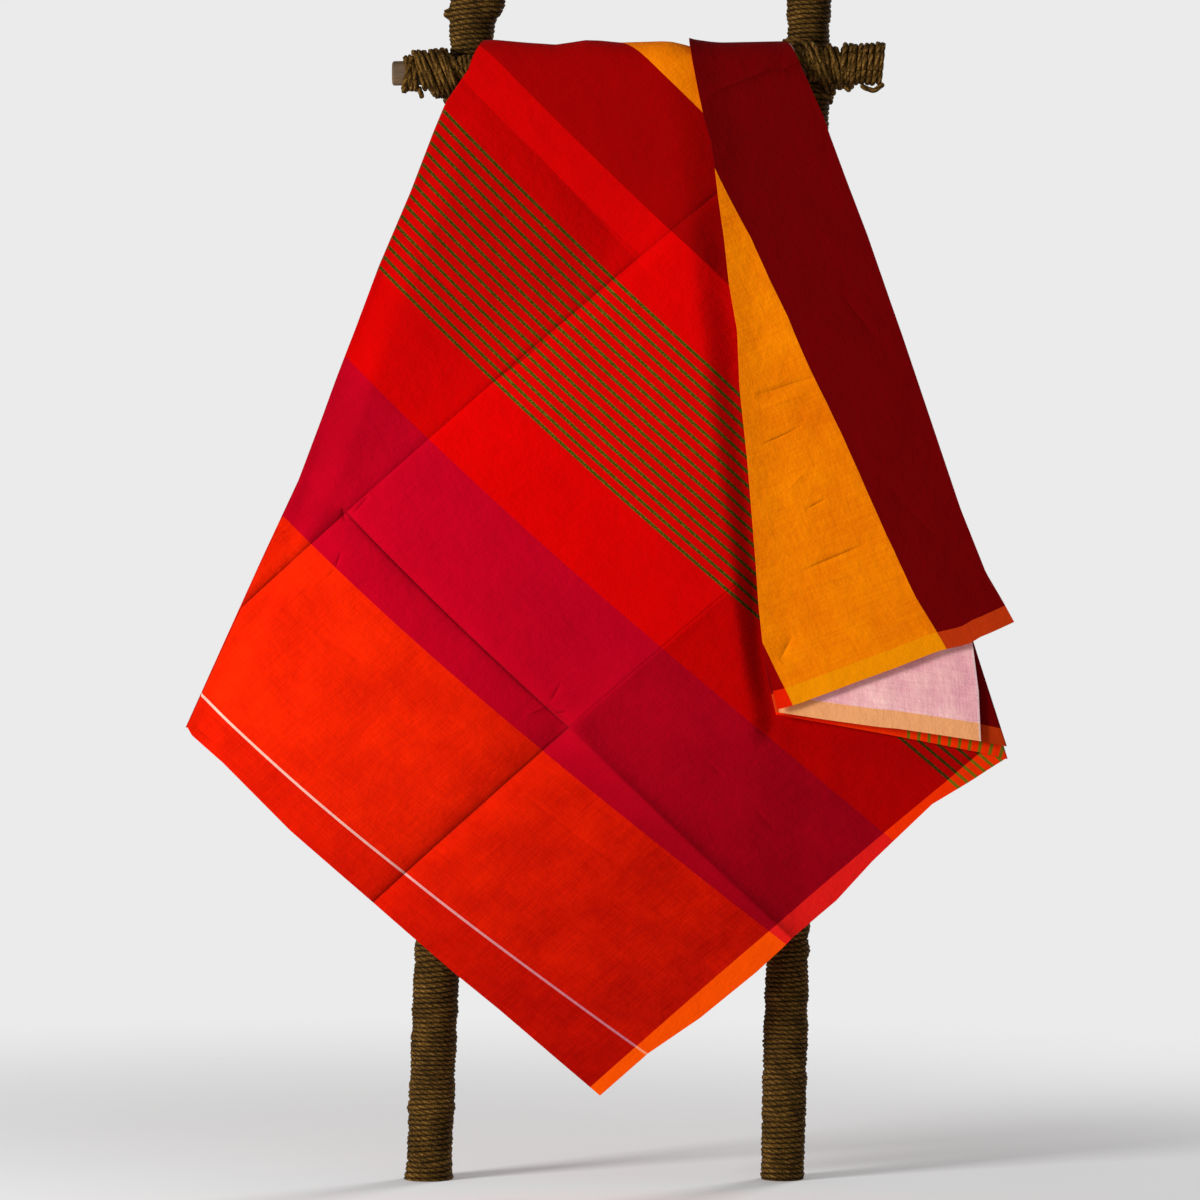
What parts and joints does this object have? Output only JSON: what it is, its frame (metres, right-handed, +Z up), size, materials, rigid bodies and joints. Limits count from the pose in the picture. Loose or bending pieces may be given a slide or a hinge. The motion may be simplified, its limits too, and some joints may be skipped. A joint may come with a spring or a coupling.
{
  "type": "sarong on a rope-wound ladder rack",
  "caption": "Woven cotton sarong in plain orange, crimson, red, amber, maroon and pink bands, draped over the rung of a rope-wound wooden ladder rack",
  "frame": {"origin": "bottom centre of the whole, on the surface that the two feet stand on", "axes": "+Z up, -Y the side the cloth's spread panel faces, +X to the right seen from the front"},
  "size_m": [0.6868, 0.0967, 1.04],
  "materials": {
    "cloth": "matte plain weave cotton",
    "rope": "rough twisted coir rope",
    "wood": "bare matte wood"
  },
  "bodies": {
    "root": {"sarong": "cloth", "upright_left": "rope", "upright_right": "rope", "rung": "wood", "rung_wrap": "rope", "lashing_left": "rope", "lashing_right": "rope"}
  },
  "joints": []
}
